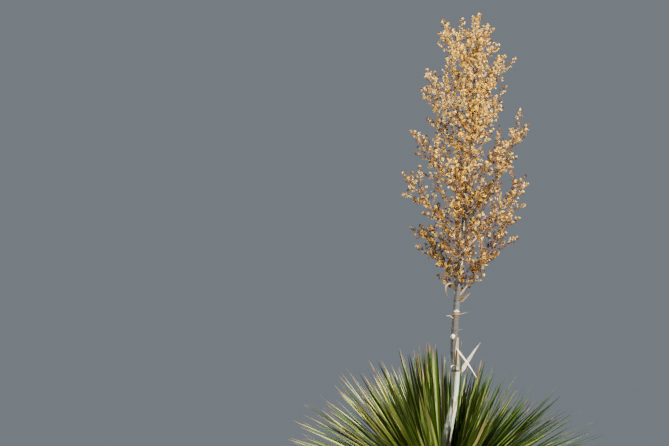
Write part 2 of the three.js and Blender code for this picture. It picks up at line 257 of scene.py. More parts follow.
class Shader:
    def __init__(self, name, specular=0.5):
        self.material = bpy.data.materials.new(name)
        self.material.use_nodes = True
        self.tree = self.material.node_tree
        self.give("Specular IOR Level", specular)

    def add(self, kind, settings=None, values=None, output=0):
        node = self.tree.nodes.new("ShaderNode" + kind)
        for key, value in (settings or {}).items():
            if key == "stops":
                self.setStops(node.color_ramp.elements, value)
            else:
                setattr(node, key, value)
        for key, value in (values or {}).items():
            self.feed(node.inputs[key], value)
        return Field(self, node.outputs[output])

    def setStops(self, elements, stops):
        while len(elements) < len(stops):
            elements.new(1.0)
        for element, (position, shade) in zip(elements, stops):
            element.position = position
            element.color = (*shade, 1)

    def feed(self, socket, value):
        if isinstance(value, Field):
            self.tree.links.new(value.socket, socket)
        else:
            socket.default_value = value

    def give(self, name, value):
        self.feed(self.tree.nodes["Principled BSDF"].inputs[name], value)

    def mix(self, share, first, second):
        values = {0: share, 6: first, 7: second}
        return self.add("Mix", {"data_type": "RGBA"}, values, output=2)

    def grain(self, scale, detail, rough, stretch=(1, 1, 1), source="Object"):
        spot = self.add("TexCoord", output=source)
        spot = self.add("VectorMath", {"operation": "MULTIPLY"}, {0: spot, 1: stretch})
        values = {"Vector": spot, "Scale": scale, "Detail": detail, "Roughness": rough}
        return self.add("TexNoise", {}, values)

    def part(self, axis, source="Object"):  # one coordinate of every spot
        return self.add("SeparateXYZ", {}, {0: self.add("TexCoord", output=source)}, axis)

    def ramp(self, share, spots, colours):
        return self.add("ValToRGB", {"stops": list(zip(spots, colours))}, {0: share})

    def limit(self, value, low, high):  # from 0 where it is low to 1 where it is high
        return self.add("MapRange", {}, {0: value, 1: low, 2: high})

    def finish(self, shade, roughness, height, depth, strength):
        self.give("Base Color", shade)
        self.give("Roughness", roughness)
        values = {"Strength": strength, "Distance": depth, "Height": height}
        self.give("Normal", self.add("Bump", {}, values))
        return self.material


def shades(colour, *factors):  # a colour made lighter or darker, as plain stops for a ramp
    return [tuple(min(1.0, part * factor) for part in colour) for factor in factors]


# Camera, from where the heart lies in the photograph

heart = np.array((0.016, 0.01, 0.72))
photo = {
    "width": 669, "height": 446, "focalPixels": 900,
    "pitch": radians(15),
    "heartPixel": (443, 500),  # just below the picture's lower edge
    "heartDepth": 7.0,
}
cameraAhead = heading(pi / 2, photo["pitch"])
cameraAbove = heading(-pi / 2, pi / 2 - photo["pitch"])
heartAside = (photo["heartPixel"][0] - photo["width"] / 2) / photo["focalPixels"]
heartAbove = (photo["height"] / 2 - photo["heartPixel"][1]) / photo["focalPixels"]
toHeart = cameraAhead + heartAside * sideways + heartAbove * cameraAbove
cameraPlace = heart - toHeart * photo["heartDepth"]


def seen(points):  # where points stand in the photograph: right and up, in metres at the heart
    away = points - cameraPlace
    depths = away @ cameraAhead
    return np.stack((away[:, 0] / depths, away @ cameraAbove / depths), -1) * photo["heartDepth"]


def makeCamera():
    data = bpy.data.cameras.new("camera")
    data.sensor_width = 36
    data.lens = data.sensor_width * photo["focalPixels"] / photo["width"]
    camera = newObject("camera", data)
    camera.location = cameraPlace
    camera.rotation_euler = (pi / 2 + photo["pitch"], 0, 0)
    bpy.context.scene.camera = camera


makeCamera()
print("camera placed")

# Light and floor

studio = {
    "backdrop": (0.5, 0.56, 0.63), "backdropStrength": 0.36,
    "floor": (0.38, 0.373, 0.36),
    "floorReach": 40, "floorCorners": 96,
    "aim": (0.2, 0.0, 2.4),
}
lamps = {  # place, size, power and tint; the key is far enough off to light the whole floor
    "key": ((23.4, -30.0, 32.8), 3.6, 155000, (1.0, 0.95, 0.86)),
    "fill": ((-7.0, -5.0, 4.0), 5.0, 150, (0.85, 0.92, 1.0)),
    "back": ((-5.0, 7.5, 6.5), 4.0, 1100, (1.0, 0.95, 0.86)),
}


def makeLamp(name, place, size, power, tint):
    data = bpy.data.lights.new(name, "AREA")
    data.size = size
    data.energy = power
    data.color = tint
    lamp = newObject(name, data)
    lamp.location = place
    ahead = Vector(studio["aim"]) - Vector(place)
    lamp.rotation_euler = ahead.to_track_quat("-Z", "Y").to_euler()


def makeStudio():
    for name, lamp in lamps.items():
        makeLamp(name, *lamp)
    world = bpy.data.worlds.new("studio")
    world.use_nodes = True
    backdrop = world.node_tree.nodes["Background"]
    backdrop.inputs["Color"].default_value = (*studio["backdrop"], 1)
    backdrop.inputs["Strength"].default_value = studio["backdropStrength"]
    bpy.context.scene.world = world
    shader = Shader("floor")
    shader.give("Base Color", (*studio["floor"], 1))
    shader.give("Roughness", 0.9)
    mesh = bpy.data.meshes.new("floor")
    rim = around(evenTurns(studio["floorCorners"])) * studio["floorReach"]
    mesh.from_pydata(rim, [], [range(len(rim))])
    mesh.materials.append(shader.material)
    newObject("floor", mesh)


makeStudio()
print("studio lit")

# Trunk with its bark, and the stubs of old leaves on it

trunk = {
    "groundRadius": 0.172, "radius": 0.124, "waistRadius": 0.119,
    "flareHeight": 0.32, "flareLobes": 5, "lobeDepth": 0.13,
    "shoulder": 0.85,  # share of the heart's height at which the head begins
    "leanEnds": 0.78,  # and at which the trunk's slight lean is complete
    "coreRadius": 0.062, "headRadius": 0.0855, "headStart": radians(-42),
    "sides": 120, "rows": 150, "headRows": 40,
    "scarsRound": 21, "scarRise": 0.03, "scarDepth": 0.006,
    "crackDepth": 0.004, "crackGrain": 34,
    "stubs": 230,
    "stubHeights": (0.24, 0.62),
    "stubLength": (0.05, 0.11), "stubWrap": (0.3, 0.5),
    "stubLean": (0.08, 0.3), "stubBlunt": (0.35, 0.75), "stubThickness": 0.004,
    "greyStubs": 0.55,  # the share of them
}
barkTints = {
    "bark": (0.105, 0.072, 0.047),
    "stubGrey": (0.26, 0.21, 0.155),
    "stubBrown": (0.16, 0.095, 0.052),
}


def trunkRadius(height):
    flare, ground, radius = trunk["flareHeight"], trunk["groundRadius"], trunk["radius"]
    heights = [0, 0.17 * flare, 0.44 * flare, flare, 0.65 * heart[2], trunk["shoulder"] * heart[2]]
    radii = [ground, lerp(radius, ground, 0.46), lerp(radius, ground, 0.12), radius,
             trunk["waistRadius"], trunk["waistRadius"] + 0.002]
    return np.interp(height, heights, radii)


def trunkAxis(heights):
    lean = np.minimum(1, heights / (trunk["leanEnds"] * heart[2]))
    return np.stack((heart[0] * lean, heart[1] * lean, heights), -1)


def trunkPoint(turn, height, radius):  # follows the root flare's lobes and the trunk's axis
    flare = np.maximum(0, 1 - height / trunk["flareHeight"])
    swell = 1 + trunk["lobeDepth"] * flare * np.cos(trunk["flareLobes"] * turn + 0.6)
    return trunkAxis(height) + around(turn) * (radius * swell)[..., None]


def barkRelief(turn, height):  # overlapping scars in two crossing spirals, with rough cracks
    across = turn / (2 * pi) * trunk["scarsRound"]
    rise = height / trunk["scarRise"]
    first = (across + rise / 2) % 1 - 0.5
    second = (across - rise / 2) % 1 - 0.5
    scar = (1 - np.abs(first * 2) ** 3) * (1 - np.abs(second * 2) ** 3)
    shelf = 0.5 + (second - first) * 0.5
    return trunk["scarDepth"] * scar * (0.55 + 0.45 * shelf)


def makeTrunk():
    lower = np.linspace(0, trunk["shoulder"] * heart[2], trunk["rows"])
    headRise = np.linspace(trunk["headStart"], pi / 2, trunk["headRows"])
    headRadii = trunk["coreRadius"] + trunk["headRadius"] * np.cos(headRise)
    headHeights = heart[2] + trunk["headRadius"] * np.sin(headRise)
    heights = np.concatenate((lower, headHeights))
    radii = np.concatenate((trunkRadius(lower), headRadii))
    turn, height = np.meshgrid(evenTurns(trunk["sides"]), heights)
    radius = np.repeat(radii[:, None], trunk["sides"], 1)
    relief = barkRelief(turn, height) - trunk["scarDepth"]
    spots = trunkPoint(turn, height, radius).reshape(-1, 3)
    rough = np.array([noise.fractal(Vector(spot * trunk["crackGrain"]), 1.0, 2.0, 3) for spot in spots])
    relief += trunk["crackDepth"] * np.clip(rough, -1, 0.6).reshape(relief.shape)
    relief[0] = np.minimum(relief[0], 0)
    points = trunkPoint(turn, height, radius + relief)
    heap = Heap()
    heap.add(points, ringFaces(len(heights), trunk["sides"]))
    shader = Shader("bark", 0.25)
    fibre = shader.grain(38, 5, 0.7, (1, 1, 0.22))
    fine = shader.grain(260, 3, 0.7)
    tone = shader.ramp(fibre, (0.25, 0.5, 0.8), shades(barkTints["bark"], 0.45, 1.0, 2.3))
    material = shader.finish(tone, 0.8 + 0.2 * fine, fibre * 0.7 + fine * 0.3, 0.006, 0.6)
    makePiece("trunk_bark", heap, material, 50, "trunk")


def makeStubs():  # dry bases of shed leaves, in overlapping rows
    heaps = {"stubGrey": Heap(), "stubBrown": Heap()}
    random = seeded(510)
    for number in range(trunk["stubs"]):
        rise = lerp(*trunk["stubHeights"], number / trunk["stubs"])
        heap = heaps["stubGrey" if random() < trunk["greyStubs"] else "stubBrown"]
        compass = goldenTurn * number + 0.2 * random()
        wrap = lerp(*trunk["stubWrap"], random())
        length = lerp(*trunk["stubLength"], random())
        lean = lerp(*trunk["stubLean"], random())
        blunt = lerp(*trunk["stubBlunt"], random())
        clasp(heap, trunkAxis, trunkRadius, rise, compass, wrap, length, lean, blunt,
              trunk["stubThickness"], rows=6, columns=5)
    for tint, heap in heaps.items():
        shader = Shader(tint, 0.2)
        fibre = shader.grain(1.0, 4, 0.7, (14, 1.2, 1), "UV")
        fine = shader.grain(180, 3, 0.7)
        tone = shader.ramp(fibre, (0.25, 0.5, 0.75), shades(barkTints[tint], 0.4, 1.0, 1.8))
        material = shader.finish(tone, 0.8 + 0.2 * fine, fibre * 0.7 + fine * 0.3, 0.003, 0.6)
        makePiece("trunk_" + tint, heap, material, 45)


# Leaf blades: rings of eight points along a bow, keeled below and grooved above

sectionShape = np.array((
    (-1.0, 1.0, 0.0), (-0.5, 0.42, 0.42), (0.0, 0.0, 0.5), (0.5, 0.42, 0.42),
    (1.0, 1.0, 0.0), (0.5, 0.42, -0.42), (0.0, 0.0, -0.5), (-0.5, 0.42, -0.42),
))  # share of the half width, of the fold, and of the thickness


def strip(heap, path, ways, across, halfWidths, folds, thicknesses, apart=0.0):  # apart moves its grain
    side, face = frames(ways, across)
    wide = sectionShape[:, 0] * np.reshape(halfWidths, (-1, 1))
    deep = sectionShape[:, 1] * np.reshape(folds, (-1, 1))
    deep = deep + sectionShape[:, 2] * np.reshape(thicknesses, (-1, 1))
    points = path[:, None] + side[:, None] * wide[..., None] + face[:, None] * deep[..., None]
    spread = (sectionShape[:, 0] + 1) / 2
    uvs = np.stack(np.meshgrid(spread + apart, np.linspace(0, 1, len(path))), -1).reshape(-1, 2)
    heap.add(points, ringFaces(len(path), len(sectionShape)), uvs)


whorls = {
    "count": 11,
    "lowest": radians(-23), "highest": radians(83),
    "steepest": radians(86),  # of any blade
    "leaves": (7, 16),  # in an upright and in a level whorl
    "rootReach": 0.112,  # from the core to a blade's root, along the blade
    "droop": (3, 8),  # degrees, of an upright and of a level blade
    "length": 1.15,
    "lengthShares": (0.82, 1.04),
}
leaf = {
    "halfWidth": 0.0138, "sheathHalfWidth": 0.036,
    "sheathEnds": 0.13,  # share of the length
    "tapers": 0.52,  # from this share of the length on
    "fold": 0.36,  # how far the edges stand above the keel, as a share of the half width
    "thickness": 0.0032,
    "rootDepth": 0.03,  # how far the visible blade starts inside the solid's root
    "between": 7,  # blades set between two of the model's own
    "twist": radians(28),
    "sway": radians(14),  # how far such a blade's outer half may turn aside
    "rings": 12,
    "sheath": (0.33, 0.3, 0.13),
    "dryTip": (0.25, 0.14, 0.055),
    "glint": (0.74, 0.72, 0.36),  # painted highlight: pale streaks that stand for sunlit glints on the blades
    "steep": (0.6, 1.0),  # rises between which a blade comes to count as steep, in radians
    "lopped": 0.06,  # how much shorter the steep blades are
    "loppedAside": 0.12,  # and how much more on the +X side
    "droopSpread": 18,  # degrees between the least and the most drooping of like blades
    "clearHeights": (0.36, 1.02),  # of the stalk above the heart, where no blade may hide it
    "clearLeft": (0.052, 0.075),  # how far from it the blades stay, low and high
    "clearRight": (0.032, 0.17),
    "clearSteps": 12,  # at most; in each, a blade that hides it turns and dips
    "clearTurn": radians(5), "clearDip": radians(0.8),
}
leafTints = {  # colour, share of the grain from which it carries painted glints, share of the length that is fresh
    "deep": ((0.012, 0.028, 0.002), 0.66, 0.99),
    "mid": ((0.037, 0.074, 0.006), 0.61, 0.95),
    "bright": ((0.185, 0.245, 0.03), 0.55, 0.9),
    "straw": ((0.25, 0.165, 0.06), 0.55, 0.8),
}
tintOdds = {  # of deep, mid, bright and straw
    "left": (0.15, 0.31, 0.48, 0.06),  # on the -X side of the upper whorls, with more bright blades as painted light
    "right": (0.74, 0.22, 0.03, 0.01),  # on their +X side, with mostly deep blades as painted shade
    "low": (0.22, 0.2, 0.1, 0.48),  # on the lowest whorl
}


def swordLeaf(compass, rise, droopShare, lengthShare, sway):  # a blade of the model has no sway
    droop = radians(lerp(*whorls["droop"], cos(rise)) + leaf["droopSpread"] * (droopShare - 0.5))
    length = whorls["length"] * lerp(*whorls["lengthShares"], lengthShare)
    lopped = leaf["lopped"] + leaf["loppedAside"] * max(0, cos(compass))
    length *= 1 - lopped * float(smoothStep(rise, *leaf["steep"]))
    way = heading(compass, rise)
    root = heart + heading(compass, 0) * trunk["coreRadius"] + way * whorls["rootReach"]
    middle = root + way * length / 2
    tip = middle + heading(compass + sway, rise - droop) * length / 2
    return Bow(root - way * leaf["rootDepth"], middle, tip)


def whorlLeaves():  # every blade as its bow, its compass and its whorl's share of the way up
    made = []
    stem = seen(stalkPoints(np.linspace(*leaf["clearHeights"], 30)))
    spacing = (whorls["highest"] - whorls["lowest"]) / (whorls["count"] - 1)
    for level in range(whorls["count"]):
        random = seeded(300 + level)
        extra = seeded(900 + level)
        rise = whorls["lowest"] + level * spacing
        height = level / (whorls["count"] - 1)
        leaves = round(lerp(*whorls["leaves"], cos(rise)))
        spread = 2 * pi / leaves
        first = 0.5 * spread * (level % 2)
        for number in range(leaves):
            compass = first + (number + 0.3 * (random() - 0.5)) * spread
            tilt = rise + radians(1.2 * (random() - 0.5))
            made.append((*clearBlade(compass, tilt, random, 0, stem), height))
            for step in range(leaf["between"]):
                aside = compass + spread * ((step + 1) / (leaf["between"] + 1) + 0.3 * (extra() - 0.5))
                higher = min(whorls["steepest"], rise + spacing * (0.5 + 0.9 * (extra() - 0.5)))
                sway = leaf["sway"] * (extra() - 0.5)
                made.append((*clearBlade(aside, higher, extra, sway, stem), height))
    return made


# Of points beside a length of the stalk as the camera sees it: how far right of it they are, at which
# share of its height, and whether they lie before it
def besideStalk(points, stem):
    across, high = seen(points).T
    gap = across - np.interp(high, stem[:, 1], stem[:, 0])
    share = (high - stem[0, 1]) / (stem[-1, 1] - stem[0, 1])
    before = (share > 0) & (share < 1) & (points[:, 1] < heart[1])
    return gap, share, before


def clearBlade(compass, rise, random, sway, stem):  # turns a blade aside while it hides the stalk
    shares = (random(), random())
    turn = 0
    for step in range(leaf["clearSteps"]):
        bow = swordLeaf(compass, rise, *shares, sway)
        gap, share, before = besideStalk(bow.points(np.linspace(0.1, 1, 24)), stem)
        left, right = lerp(*leaf["clearLeft"], share), lerp(*leaf["clearRight"], share)
        hides = before & (gap > -left) & (gap < right)
        if not hides.any():
            break
        turn = turn or copysign(leaf["clearTurn"], gap[hides].mean())
        compass += turn
        rise -= leaf["clearDip"]
    return bow, compass


def bladeHalfWidth(shares):
    sheath = smoothStep(shares, 0.0, leaf["sheathEnds"])
    body = lerp(leaf["sheathHalfWidth"], leaf["halfWidth"], sheath)
    taper = 1 - np.clip((shares - leaf["tapers"]) / (1 - leaf["tapers"]), 0, 1) ** 2.2
    return body * np.maximum(taper, 0.02)


# Deals the tints by side: lighter blades on -X and darker ones on +X, as painted light and shade.
def pickTint(compass, level, luck):
    left, right, low = (np.array(odds) for odds in tintOdds.values())
    upper = lerp(left, right, (1 + cos(compass)) / 2)
    odds = np.cumsum(lerp(low, upper, min(1, level * 2.5)))
    return list(leafTints)[int(np.searchsorted(odds, luck * odds[-1]))]


def makeLeaves():
    heaps = {tint: Heap() for tint in leafTints}
    random = seeded(77)
    shares = np.linspace(0, 1, leaf["rings"]) ** 0.9
    for number, (bow, compass, level) in enumerate(whorlLeaves()):
        tint = pickTint(compass, level, random())
        twist = leaf["twist"] * (random() - 0.5) * 2
        halfWidths = bladeHalfWidth(shares) * (0.85 + 0.3 * random())
        across = np.outer(np.cos(twist * shares), heading(compass + pi / 2, 0))
        across += np.outer(np.sin(twist * shares), up)
        thick = leaf["thickness"] * (1.6 - shares) * np.maximum(0.15, 1 - shares**6)
        strip(heaps[tint], bow.points(shares), bow.ways(shares), across, halfWidths,
              halfWidths * leaf["fold"], thick, number * 3.7)
    for tint, heap in heaps.items():
        replaced = "leaf_whorl" if tint == "mid" else None
        makePiece("leaf_blades_" + tint, heap, leafMaterial(tint), 24, replaced)


def leafMaterial(name):  # streaked along the blade, with pale streaks painted on as sunlit glints, pale where it clasps the trunk, brown at the tip
    tint, glintFrom, dry = leafTints[name]
    shader = Shader("leaf_" + name, 0.15)
    vein = shader.grain(1.0, 2, 0.55, (24, 1.8, 1), "UV")
    cloud = shader.grain(3.2, 3, 0.6)
    tone = shader.ramp(vein * 0.65 + cloud * 0.35, (0.3, 0.5, 0.72), shades(tint, 0.55, 1.0, 1.7))
    # Painted highlight: pale glint streaks wherever the streak grain passes the tint's threshold.
    streak = shader.grain(1.0, 2, 0.5, (9, 1.1, 1), "UV")
    tone = shader.mix(shader.limit(streak, glintFrom, glintFrom + 0.06), tone, (*leaf["glint"], 1))
    ownTip = shader.grain(1.0, 1, 0.5, (0.3, 0.5, 1), "UV")
    ragged = shader.part(1, "UV") + (ownTip - 0.5) * 0.3 + (vein - 0.5) * 0.12
    tone = shader.mix(shader.limit(ragged, dry, dry + 0.05), tone, (*leaf["dryTip"], 1))
    tone = shader.mix(1 - shader.limit(ragged, 0.04, 0.17), tone, (*leaf["sheath"], 1))
    return shader.finish(tone, 0.24 + 0.3 * cloud, vein, 0.0012, 0.5)


# Flower stalk

stalk = {  # rises are heights above the heart, as they are on the bracts and the panicle
    "start": 0.09,
    "radius": (0.04, 0.005),  # foot and tip
    "lean": 0.122, "leanSettles": 0.15,
    "straightens": 3.1, "bend": 0.09,
    "kink": 0.056, "kinkRise": 0.83, "kinkReach": 0.27,
    "reach": 3.93,
    "sides": 36, "rings": 420,
    "ribs": 11, "ribDepth": 0.035, "ribTwist": 3,
    "slimmed": 0.985,  # so that the ribs stay close to the model's own surface
    "nodeSwell": 0.09, "nodeReach": 0.012,
    "nodeRises": (0.55, 0.76, 0.97, 1.15, 1.33, 1.47, 1.53),
    "tint": (0.045, 0.056, 0.062),
    "fibreTint": (0.038, 0.034, 0.03),
    "waxAndLitTint": (0.47, 0.54, 0.49),
    "waxAndLitEnds": (1.62, 1.8),  # heights between which the pale lower stalk gives out: partly a waxy bloom and partly painted sunlight
}


def stalkPoints(rises):
    rises = np.atleast_1d(np.asarray(rises, float))
    above = rises - stalk["start"]
    travel = stalk["lean"] * above**2 / (above + stalk["leanSettles"])
    back = stalk["bend"] * np.maximum(0, rises - stalk["straightens"]) ** 2
    kink = stalk["kink"] * np.exp(-(((rises - stalk["kinkRise"]) / stalk["kinkReach"]) ** 2))
    return np.stack((travel - back + kink, np.zeros(len(rises)), rises), -1) + heart


def stalkRadius(rises):
    along = (rises - stalk["start"]) / (stalk["reach"] - stalk["start"])
    return lerp(*stalk["radius"], np.clip(along, 0, 1))


def makeStalk():
    rises = np.linspace(stalk["start"], stalk["reach"], stalk["rings"])
    path = stalkPoints(rises)
    ways = unit(np.gradient(path, axis=0))
    turns = stalk["ribs"] * evenTurns(stalk["sides"]) + stalk["ribTwist"] * rises[:, None]
    ribs = 1 + stalk["ribDepth"] * np.cos(turns)
    swell = np.ones(len(rises))
    for node in stalk["nodeRises"]:
        swell += stalk["nodeSwell"] * np.exp(-(((rises - node) / stalk["nodeReach"]) ** 2))
    radii = stalkRadius(rises)[:, None] * ribs * swell[:, None] * stalk["slimmed"]
    heap = Heap()
    tube(heap, path, ways, radii, stalk["sides"])
    material = stemMaterial("stalk", stalk["tint"], stalk["fibreTint"], stalk["waxAndLitTint"])
    makePiece("stalk_stem", heap, material, 60, "flower_stalk")


def stemMaterial(name, tint, fibre=None, waxAndLit=None):
    shader = Shader("stem_" + name, 0.3)
    streak = shader.grain(60, 4, 0.65, (1, 1, 0.06))
    blotch = shader.grain(9, 4, 0.6, (1, 1, 0.5))
    speck = shader.grain(420, 2, 0.6)
    share = streak * 0.55 + blotch * 0.45
    stops = (0.28, 0.46, 0.56, 0.74)
    dark = shades(fibre, 0.6, 1.2) if fibre else shades(tint, 0.45, 0.85)
    tone = shader.ramp(share, stops, dark + shades(tint, 1.05, 1.6))
    # The pale lower stalk is partly a waxy bloom and partly painted sunlight.
    if waxAndLit:
        waxAndLitTone = shader.ramp(share, stops, shades(waxAndLit, 0.35, 0.85, 1.05, 1.3))
        height = shader.part(2) + (blotch - 0.5) * 0.3
        tone = shader.mix(shader.limit(height, *stalk["waxAndLitEnds"]), waxAndLitTone, tone)
    return shader.finish(tone, 0.6 + 0.25 * speck, streak * 0.7 + speck * 0.3, 0.0025, 0.6)


# Bracts and peeling sheaths on the stalk

bract = {
    "steps": 22,  # along a blade
    "thickness": 0.0022,
    "plan": (  # rise, compass, twist, climb, curl, length, half width; the model's own six come first
        (0.97, -30, -45, 55, 8, 0.31, 0.02),
        (1.285, -115, 0, 30, 300, 0.115, 0.022),
        (1.185, -62, 0, -40, 12, 0.4, 0.011),
        (1.455, -20, 0, 6, -8, 0.095, 0.009),
        (1.56, -35, -75, 25, -10, 0.125, 0.018),
        (1.622, -142, 15, 112, 285, 0.31, 0.016),
        (1.01, -120, 0, 75, 150, 0.09, 0.012),
        (1.78, -60, 0, 80, 10, 0.13, 0.018),
        (1.42, 215, 0, 40, 60, 0.08, 0.009),
        (0.9, -25, 0, 78, 0, 0.14, 0.012),
        (0.4, -30, 0, 80, -3, 0.52, 0.011),
        (0.55, -10, 20, 79, -5, 0.45, 0.009),
        (1.1, -15, 0, 84, 0, 0.17, 0.0045),
        (1.02, 5, 0, 82, 3, 0.22, 0.0045),
        (1.31, -25, 0, 55, 70, 0.05, 0.01),
        (2.16, -78, 0, 70, -8, 0.09, 0.011),
        (2.085, -110, 0, 74, 0, 0.08, 0.017),
    ),
    "tan": (3, 4, 5, 12, 13, 14, 16),  # places in the plan, from 0, of the darker ones
}
sheath = {
    "strips": 34,
    "rises": (0.1, 0.84),
    "length": (0.1, 0.38), "halfWidth": (0.003, 0.01), "thickness": 0.0009,
    "steps": 18,  # along a strip
    "peel": 0.016,
    "rings": (  # tint, rise, compass and wrap
        ("cream", 1.471, -85, 2.0),
        ("dry", 1.448, -95, 4.4),
        ("dry", 1.45, 100, 4.4),
        ("clasper", 0.985, -100, 4.4),
        ("clasper", 1.425, -100, 4.4),
        ("clasper", 1.56, 150, 4.4),
    ),
    "ringLength": 0.019, "ringLean": 0.3,
    "scaleDrop": 0.025,  # of the small scale under every bough
    "scaleWrap": 2.6, "scaleLength": (0.06, 0.02), "scaleLean": 0.45,
}
coat = {  # an old sheath that still clings to the stalk
    "rise": 1.04, "compass": radians(-48), "wrap": 1.7, "length": 0.22,
    "lean": 0.03, "blunt": 0.3, "thickness": 0.002, "rows": 24, "columns": 15,
}
bractTints = {
    "cream": (0.62, 0.56, 0.4),
    "dry": (0.23, 0.165, 0.09),
    "clasper": (0.11, 0.075, 0.042),
    "pale": (0.42, 0.41, 0.35),
    "tan": (0.28, 0.19, 0.105),
}


def bractBlade(heap, rise, compass, twist, climb, curl, length, halfWidth):
    compass, twist, climb, curl = (radians(angle) for angle in (compass, twist, climb, curl))
    steps = bract["steps"]
    shares = np.linspace(0, 1, steps)
    ways = np.array([heading(compass, climb - curl * share) for share in shares])
    root = stalkPoints(rise)[0] + heading(compass, 0) * 0.8 * float(stalkRadius(rise))
    moves = np.concatenate((np.zeros((1, 3)), (ways[1:] + ways[:-1]) / 2)) * length / (steps - 1)
    path = root + np.cumsum(moves, axis=0)
    across = heading(compass + pi / 2 + twist, 0)
    wave = 1 + 0.05 * np.sin(shares * 19 + compass * 3)
    halfWidths = halfWidth * np.maximum(0.03, 1 - shares**1.7) * wave
    halfWidths *= lerp(0.5, 1, smoothStep(shares, 0, 0.25))
    folds = halfWidths * (0.25 + 0.5 * (1 - shares))
    strip(heap, path, ways, across, halfWidths, folds, bract["thickness"] * (1.5 - shares))


def makeBracts():
    heaps = {tint: Heap() for tint in ("clasper", "cream", "dry")}
    for number, plan in enumerate(bract["plan"]):
        bractBlade(heaps["dry" if number in bract["tan"] else "cream"], *plan)
    clasp(heaps["dry"], stalkPoints, stalkRadius, **coat)
    for tint, rise, compass, wrap in sheath["rings"]:
        clasp(heaps[tint], stalkPoints, stalkRadius, rise, radians(compass), wrap,
              sheath["ringLength"], sheath["ringLean"])
    for index, line in enumerate(plumeLines[:-1]):
        aim = line.tip - line.root
        length = lerp(*sheath["scaleLength"], (index / panicle["boughs"]) ** 0.4)
        clasp(heaps["clasper"], stalkPoints, stalkRadius, line.root[2] - heart[2] - sheath["scaleDrop"],
              atan2(aim[1], aim[0]), sheath["scaleWrap"], length, sheath["scaleLean"])
    makePiece("stalk_claspers", heaps["clasper"], bractMaterial("clasper"), 40)
    makePiece("bract_blades", heaps["cream"], bractMaterial("cream"), 40, "bract")
    makePiece("bract_blades_tan", heaps["dry"], bractMaterial("dry"), 40)


def makeSheaths():  # papery strips that peel lengthwise from the stalk
    heaps = {"pale": Heap(), "tan": Heap()}
    random = seeded(4100)
    shares = np.linspace(0, 1, sheath["steps"])
    for number in range(sheath["strips"]):
        rise = lerp(*sheath["rises"], (number + random()) / sheath["strips"])
        compass = goldenTurn * number
        rises = rise + shares * lerp(*sheath["length"], random())
        halfWidth = lerp(*sheath["halfWidth"], random())
        peel = sheath["peel"] * random() * np.clip((shares - 0.75) * 4, 0, 1) ** 2
        wander = compass + 0.25 * np.sin(shares * 3 + number)
        radii = stalkRadius(rises)
        path = stalkPoints(rises) + around(wander) * (radii * 1.02 + 0.0015 + peel)[:, None]
        halfWidths = halfWidth * (0.35 + 0.65 * np.sin(pi * np.clip(shares, 0.02, 0.98)))
        heap = heaps["tan" if cos(compass) > 0.1 else "pale"]
        strip(heap, path, unit(np.gradient(path, axis=0)), around(wander + pi / 2), halfWidths,
              -(halfWidths**2) / (2 * radii), sheath["thickness"], number * 3.1)
    for tint, heap in heaps.items():
        makePiece("stalk_sheaths_" + tint, heap, bractMaterial(tint), 40)


def bractMaterial(name):
    shader = Shader("bract_" + name, 0.3)
    vein = shader.grain(1.0, 2, 0.5, (40, 2.5, 1), "UV")
    cloud = shader.grain(22, 4, 0.6)
    tints = shades(bractTints[name], 0.6, 1.0, 1.25)
    tone = shader.ramp(vein * 0.5 + cloud * 0.5, (0.3, 0.5, 0.7), tints)
    return shader.finish(tone, 0.55 + 0.3 * cloud, vein, 0.001, 0.5)


# Panicle: boughs, and plumes of capsules by the model's rule, carried to finer sprays

panicle = {
    "top": 4.85,  # above the ground
    "foot": 1.59, "head": 3.76,  # rises of the lowest and the highest bough
    "radius": 0.485, "narrows": 2.7,
    "boughs": 19,
    "boughRadius": (0.008, 0.0055),  # of the lowest and the highest bough
    "firstBough": -20,
    "bare": (0.24, 0.16),  # share of its length below the first twig, of the same two
    "climb": (45, 69),  # in degrees
    "crownRise": 0.15, "crownTip": 0.075, "crownShift": 0.4,
    "stemShare": 0.8, "stemTip": 0.0016,
    "twigSpacing": 0.086,
    "twigLength": (0.2, 0.095),  # at a bough's foot and at its tip
    "twigSweep": 0.3,
    "cluster": 0.14, "margin": 0.007,
    "boughTint": (0.27, 0.19, 0.11),
    # Dark twigs: partly their own brown and partly painted shade, darkening the gaps between the
    # sprays.
    "twigTint": (0.17, 0.095, 0.048),
}
strayBoughs = {  # boughs that leave the rule: degrees turned, and multiples of its reach and lift
    0: (0, 1.35, 1.9),
    1: (0, 1.25, 1.3),
    3: (-8, 1.3, 1.4),
    4: (0, 0.92, 1.0),
    7: (-8, 1.12, 0.8),
    8: (0, 1.12, 1.0),
    9: (12, 0.8, 1.65),
    12: (0, 0.95, 1.08),
    13: (0, 0.82, 1.12),
    15: (-50, 0.94, 1.35),
    16: (0, 0.55, 0.9),
    18: (0, 0.8, 0.3),
}
spray = {
    "finer": (2.4, 0.8),  # sprays for each of the model's own, on the lowest and the highest bough
    "overlap": 0.02,  # how far these may reach into the next plume's space
    "lesser": 4,  # short boughs for each of the model's own, every second a mere spur
    "spurShare": 0.35,
    "lesserClimb": (35, 66),
    "lesserReach": (0.5, 0.75),  # as a share of the panicle's own
    "lesserRadius": (0.0045, 0.0015),
    "lesserSpacing": 0.06,
    "spread": 0.38,  # longest raceme, as a share of the cluster that the spray stands for
    "racemeSpacing": (0.015, 0.0205),  # low and high on the panicle
    "capsules": 5,  # on each raceme
    "sweep": 0.35,
    "clearRises": (2.08, 2.28),  # of the stalk above the heart, where it shows through the panicle
    "clearAside": 0.026,
    "twigFoot": 0.0026, "twigRadius": 0.0016,
    "racemeRadius": 0.0008, "racemeTip": 0.00048,
    "footOdds": (0.04, 0.06, 0.15, 0.36, 0.39),  # of cream, straw, gold, amber and brown; browner low down, partly older fruit and partly painted shade
    "topOdds": (0.38, 0.3, 0.17, 0.1, 0.05),
}
capsule = {
    "width": 0.0118, "height": 0.0126, "grown": (0.72, 1.17),
}
